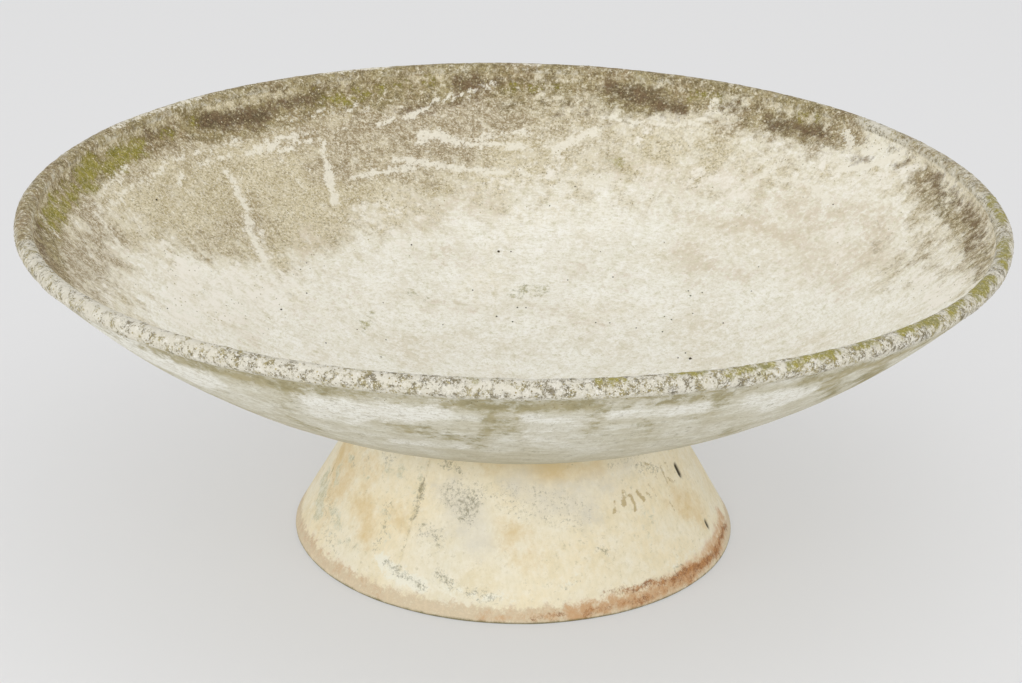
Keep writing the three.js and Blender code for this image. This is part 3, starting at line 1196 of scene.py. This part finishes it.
# %% Limewashed fibre cement of the stand
def limewashed_cement():
    material, tree, shader, where = new_material("limewashed_fibre_cement")
    ring = add(tree, "ShaderNodeAttribute", attribute_name="ring").outputs["Vector"]
    grain = grains(tree, where, {
        "clouds": (120, 5.0, 0.65), "patches": (30, 7.0, 0.75), "islands": (12, 6.0, 0.78),
        "crumbs": (7, 4.0, 0.8), "grit": (4, 3.0, 0.8), "dust": (4.4, 4.0, 0.9),
    })
    grain |= grains(tree, ring, {"brush": (3, 3.0, 0.6)})

    # brushed limewash, yellowed, washed out and worn through in places
    paint = add(
        tree, "ShaderNodeValToRGB", {"Fac": grain["clouds"]},
        stops=[(0.34, "#E4DFCD"), (0.46, "#E9E1CA"), (0.58, "#EBDFC1"), (0.7, "#E8D9B5")],
    ).outputs[0]
    worn = layered(tree, grain, "#BEB999", [("#DCD9C6", 0.5, "crumbs", 3.4, 0.4)])
    colour = layered(tree, grain, paint, [
        ("#DCD3B6", 0.35, "brush", 3.0, 0.5, 0.5),
        ("#D5CBAC", 0.26, "patches", 3.4, 0.5, 0.5),
        ("#EFEADB", 0.3, "islands", 3.4, 0.4, 0.5),
        ("#BDB698", 0.03, "crumbs", 3.4, 0.3, 0.6),
        # yellow-brown stains, and painted shade along the top under the bowl
        ("#D6BC88", "ochre_and_shade", "patches", 2.4, 0.6, 0.75),
        ("#D6D2C6", "wash", "patches", 2.4, 0.6, 0.72),
        (worn, "worn", "islands", 3.4, 0.3, 0.85),
        ("#EAE8DA", "chalk", "islands", 3.4, 0.35, 0.8),
        ("#B8A67C", "flakes", "crumbs", 2.2, 0.25, 0.85),
    ])

    # dust and painted shade under the bowl, a bare band along the foot, rust, dampness and painted
    # contact shade at the foot's edge, painted shade in the gouges' bottoms, and the raw cement of the hollow
    by_height = shares_by_height(tree, where, {
        "high": (142, 174, 0.5), "low": (25, 11, 1.0), "damp_and_contact_shade": (5, 0.5, 1.0),
    })
    band = layered(tree, grain, "#D6C5A9", [
        ("#C3B194", 0.5, "crumbs", 3.4, 0.5),
        ("#E3D9C2", 0.18, "crumbs", 3.4, 0.3, 0.8),
    ])
    rust = layered(tree, grain, "#7D4F2C", [("#B5814F", 0.5, "crumbs", 3.4, 0.5)])
    raw = layered(tree, grain, "#BDB39C", [("#A89D86", 0.5, "patches", 3.0, 0.4)])
    colour = layered(tree, grain, colour, [
        # the top of the stand darker just under the bowl: dust and painted shade
        ("#B8AB86", by_height["high"]),
        (band, by_height["low"], "islands", 2.6, 0.25, 0.88),
        ("#C08F5E", "tinge", "islands", 2.6, 0.5, 0.72),
        (rust, "rust", "dust", 3.4, 0.45, 0.88),
        ("#868169", "dots", "dust", 3.6, 0.35, 0.75, 0.33),
        # dark olive along the bottom edge of the foot: dampness and painted contact shade
        ("#67653F", by_height["damp_and_contact_shade"], "islands", 1.5, 0.4, 0.85),
        # painted shade in the bottoms of the two gouges
        ("#4A4334", "nick"),
        (raw, "inside"),
    ])
    finish_stone(
        tree, shader, colour, grain, coarse=1.0, strength=0.35, distance=0.6 * MM, roughness=0.88, gloss=0.3,
    )
    return material


stand_material = limewashed_cement()

# %% [markdown]
# ## Relief
#
# Cement pressed into a mould by hand keeps broad waves and small pits, and old crusts
# stand proud of it. A second tree moves each point along its normal by two noises: a
# broad wave everywhere, and a finer crust on the bead and where growth or lime is painted,
# each with its share of the crust's height. A little of the crust lies everywhere.


# %% The relief tree
LEAST_CRUST = 0.15


def relief_tree(crusts):
    lengths = {name: "Float" for name in ("Wave height", "Wave size", "Crust height", "Crust size")}
    tree, given = new_tree("hand_relief", **lengths, Material="Material")
    place = add(tree, "GeometryNodeInputPosition").outputs[0]
    normal = add(tree, "GeometryNodeInputNormal").outputs[0]
    amount = strongest(tree, LEAST_CRUST, crusts)
    total = 0.0
    for size, height, share in (("Wave size", "Wave height", 1.0), ("Crust size", "Crust height", amount)):
        scale = add(tree, "ShaderNodeMath", {0: 1.0, 1: given[size]}, operation="DIVIDE").outputs[0]
        noise_here = add(tree, "ShaderNodeTexNoise", {"Vector": place, "Scale": scale, "Detail": 3.0})
        centred = add(tree, "ShaderNodeMath", {0: noise_here.outputs["Fac"], 1: 0.5}, operation="SUBTRACT")
        scaled = add(tree, "ShaderNodeMath", {0: centred.outputs[0], 1: given[height]}, operation="MULTIPLY")
        parts = {0: scaled.outputs[0], 1: share, 2: total}
        total = add(tree, "ShaderNodeMath", parts, operation="MULTIPLY_ADD").outputs[0]
    offset = add(tree, "ShaderNodeVectorMath", {0: normal, "Scale": total}, operation="SCALE").outputs[0]
    moved = add(tree, "GeometryNodeSetPosition", {"Geometry": given["Geometry"], "Offset": offset})
    end_tree(tree, moved.outputs[0], given["Material"])
    return tree


# %% Finish the two shells
def finished(name, mesh, crusts, relief, material):
    """The piece with its relief, from the height and size of its wave and of its crust in mm."""
    labels = ("Wave height", "Wave size", "Crust height", "Crust size")
    values = {label: measure * MM for label, measure in zip(labels, relief)}
    baked = bake(name + "_shell", mesh, relief_tree(crusts), values | {"Material": material})
    piece = bpy.data.objects.new(name + "_shell", baked)
    show(piece)
    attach(piece, name)
    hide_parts(name)
    return piece


bowl_crusts = {"lichen": 0.5, "moss": 0.5, "crust": 0.4, "chalk": 0.35, "bead": 0.6}
bowl = finished(
    "bowl", bowl_mesh, bowl_crusts, (2.2, 90, 3.6, 11), bowl_material,
)
stand = finished(
    "stand", stand_mesh, {"rust": 1.0}, (1.4, 70, 0.8, 7), stand_material,
)
print("pieces:", bowl.name, stand.name)

# %% [markdown]
# ## Crumbs of lime and lichen
#
# Up close the rim and the crusts are not smooth: they carry thousands of loose crumbs of
# lime and dry lichen, one to two and a half millimetres across, and dark flecks lie on the
# chalk lower down. A third tree scatters crumbs over the shell where the masks are strong,
# and adds the flecks at the points that were marked for them. Each is a lump of twenty
# faces, flattened onto the surface, with a random tone that its material turns to colour.


# %% The crumb tree
CRUMB_SHARES = {"bead": 0.16, "crust": 0.4, "lichen": 0.5, "chalk": 0.1, "film": 0.05}
CRUMB_FLATNESS = 0.35


def crumb_tree():
    numbers = {"Density": "Float", "Smallest": "Float", "Largest": "Float", "Seed": "Int"}
    tree, given = new_tree("crumbs", **numbers, Material="Material")
    shell = given["Geometry"]
    amount = strongest(tree, 0.0, CRUMB_SHARES)
    density = add(tree, "ShaderNodeMath", {0: amount, 1: given["Density"]}, operation="MULTIPLY").outputs[0]
    scatter = add(
        tree, "GeometryNodeDistributePointsOnFaces",
        {"Mesh": shell, "Density": density, "Seed": given["Seed"]},
    )
    lump = add(tree, "GeometryNodeMeshIcoSphere", {"Radius": 1.0, "Subdivisions": 1})
    size = add(
        tree, "FunctionNodeRandomValue",
        {2: given["Smallest"], 3: given["Largest"], "Seed": given["Seed"]}, data_type="FLOAT",
    ).outputs[1]
    thin = add(tree, "ShaderNodeMath", {0: size, 1: CRUMB_FLATNESS}, operation="MULTIPLY").outputs[0]
    flat = add(tree, "ShaderNodeCombineXYZ", {0: size, 1: size, 2: thin}).outputs[0]
    lumps = add(
        tree, "GeometryNodeInstanceOnPoints",
        {"Points": scatter.outputs["Points"], "Instance": lump.outputs["Mesh"],
         "Rotation": scatter.outputs["Rotation"], "Scale": flat},
    )
    tone = add(
        tree, "FunctionNodeRandomValue", {2: 0.15, 3: 1.0, "Seed": given["Seed"]}, data_type="FLOAT",
    ).outputs[1]
    toned = add(
        tree, "GeometryNodeStoreNamedAttribute",
        {"Geometry": lumps.outputs[0], "Name": "tone", "Value": tone}, data_type="FLOAT", domain="INSTANCE",
    )

    speck = add(tree, "GeometryNodeInputNamedAttribute", {"Name": "speck"}, data_type="FLOAT").outputs[0]
    marked = add(tree, "FunctionNodeCompare", {0: speck, 1: 0.1}, operation="GREATER_THAN", data_type="FLOAT")
    width = add(tree, "ShaderNodeMath", {0: speck, 1: MM}, operation="MULTIPLY").outputs[0]
    flecks = add(
        tree, "GeometryNodeInstanceOnPoints",
        {"Points": shell, "Selection": marked.outputs[0], "Instance": lump.outputs["Mesh"], "Scale": width},
    )
    dark = add(
        tree, "GeometryNodeStoreNamedAttribute",
        {"Geometry": flecks.outputs[0], "Name": "tone", "Value": 0.0}, data_type="FLOAT", domain="INSTANCE",
    )
    joined = add(tree, "GeometryNodeJoinGeometry")
    tree.links.new(toned.outputs[0], joined.inputs[0])
    tree.links.new(dark.outputs[0], joined.inputs[0])
    end_tree(tree, joined.outputs[0], given["Material"])
    return tree


# %% Lime and lichen crumbs on the bowl
def crumb_material():
    """Dry lime and lichen: chalky, without any gloss, from near black to white."""
    material, tree, shader, where = new_material("lime_and_lichen_crumbs")
    tone = add(
        tree, "ShaderNodeValToRGB",
        {"Fac": add(tree, "ShaderNodeAttribute", attribute_name="tone").outputs["Fac"]},
        stops=[(0.1, "#4A4334"), (0.4, "#5E5439"), (0.7, "#837853"), (0.93, "#AFA480"), (0.99, "#D8D1BB")],
    ).outputs[0]
    tree.links.new(tone, shader.inputs["Base Color"])
    shader.inputs["Roughness"].default_value = 0.95
    shader.inputs["Specular IOR Level"].default_value = 0.2
    return material


crumbs = bpy.data.objects.new("bowl_crumbs", bake("bowl_crumbs", bowl.data.copy(), crumb_tree(), {
    "Density": 60000.0, "Smallest": 0.4 * MM, "Largest": 1.3 * MM, "Seed": 5, "Material": crumb_material(),
}))
show(crumbs)
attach(crumbs, "bowl")
print("crumbs:", len(crumbs.data.polygons), "triangles")

# %% [markdown]
# ## The studio
#
# A pale grey floor that runs on behind the object, an even sky of light and four broad
# lamps: one overhead, and three low ones, in front and at both sides, that fill the shade
# under the bowl. The floor is painted, matt and even. What the camera sees of it glows a
# little, which lightens the object's shadow and leaves the light on the object as it was.

# %% Floor
FLOOR_SIZE = 40.0
FLOOR_GLOW = 0.36


def studio_floor():
    material, tree, shader, where = new_material("painted_studio_floor")
    mottle = add(tree, "ShaderNodeTexNoise", {"Vector": where, "Scale": per(300), "Detail": 5.0})
    tone = add(
        tree, "ShaderNodeValToRGB", {"Fac": mottle.outputs["Fac"]},
        stops=[(0.3, "#E4E4E4"), (0.7, "#E8E8E9")],
    ).outputs[0]
    seen = add(tree, "ShaderNodeLightPath").outputs["Is Camera Ray"]
    shade = layered(tree, {}, tone, [("#ABABAC", seen)])
    glow = add(tree, "ShaderNodeMath", {0: seen, 1: FLOOR_GLOW}, operation="MULTIPLY")
    tree.links.new(shade, shader.inputs["Base Color"])
    tree.links.new(glow.outputs[0], shader.inputs["Emission Strength"])
    shader.inputs["Emission Color"].default_value = linear("#FFFFFF")
    shader.inputs["Roughness"].default_value = 0.95
    shader.inputs["Specular IOR Level"].default_value = 0.1
    half = FLOOR_SIZE / 2
    corners = [(-half, -half, 0), (half, -half, 0), (half, half, 0), (-half, half, 0)]
    mesh = bpy.data.meshes.new("studio_floor")
    mesh.from_pydata(corners, [], [(0, 1, 2, 3)])
    mesh.materials.append(material)
    floor = bpy.data.objects.new("studio_floor", mesh)
    show(floor)


studio_floor()


# %% Lights
LAMPS = {  # place, size in metres and power in watts
    "overhead_softbox": ((0.8, -0.8, 3.6), 2.6, 10),
    "front_softbox": ((-0.4, -4.1, 1.6), 2.4, 32),
    "left_softbox": ((-3.4, -2.4, 1.3), 2.0, 32),
    "right_softbox": ((3.4, -2.4, 1.3), 2.0, 22),
}
LIT_PLACE = Vector((0, 0, 0.2))
SKY_ON_OBJECT = 0.86
SKY_SEEN = 0.78


def softbox(name, place, size, power):
    data = bpy.data.lights.new(name, "AREA")
    data.shape = "DISK"
    data.size = size
    data.energy = power
    lamp = bpy.data.objects.new(name, data)
    lamp.location = place
    lamp.rotation_euler = (LIT_PLACE - Vector(place)).to_track_quat("-Z", "Y").to_euler()
    show(lamp)


for lamp_name, lamp_settings in LAMPS.items():
    softbox(lamp_name, *lamp_settings)

world = bpy.data.worlds.new("studio_sky")
world.use_nodes = True
sky = world.node_tree
camera_ray = add(sky, "ShaderNodeLightPath").outputs["Is Camera Ray"]
strengths = {"Value": camera_ray, "To Min": SKY_ON_OBJECT, "To Max": SKY_SEEN}
strength = add(sky, "ShaderNodeMapRange", strengths).outputs[0]
background = sky.nodes["Background"]
background.inputs["Color"].default_value = (1, 1, 1, 1)
sky.links.new(strength, background.inputs["Strength"])
bpy.context.scene.world = world

# %% [markdown]
# ## The camera
#
# The photographer stood about two and a half metres away and looked down at the bowl. The
# place, the pitch and the focal length were found by laying the outlines of both pieces
# over the photograph's. The picture is taken to be 1022 by 683 pixels.

# %% Camera
PICTURE_WIDTH = 1022
FOCAL_PIXELS = 2192.75
CAMERA_PLACE = (0.0, -2.5455, 1.2773)
PITCH = 0.3850  # downwards, in radians
YAW = -0.0028
ROLL = 0.0181

forward_level = Vector((math.sin(YAW), math.cos(YAW), 0))
right_level = Vector((math.cos(YAW), -math.sin(YAW), 0))
upright = Vector((0, 0, 1))
forward = forward_level * math.cos(PITCH) - upright * math.sin(PITCH)
up = upright * math.cos(PITCH) + forward_level * math.sin(PITCH)
right = right_level * math.cos(ROLL) + up * math.sin(ROLL)
up = up * math.cos(ROLL) - right_level * math.sin(ROLL)

camera_data = bpy.data.cameras.new("camera")
camera_data.sensor_width = 36
camera_data.lens = FOCAL_PIXELS * camera_data.sensor_width / PICTURE_WIDTH
camera = bpy.data.objects.new("camera", camera_data)
facing = Matrix((right, up, -forward)).transposed().to_4x4()
camera.matrix_world = Matrix.Translation(CAMERA_PLACE) @ facing
show(camera)
bpy.context.scene.camera = camera
bpy.context.scene.view_settings.view_transform = "Standard"
print("lens", round(camera_data.lens, 1), "mm")
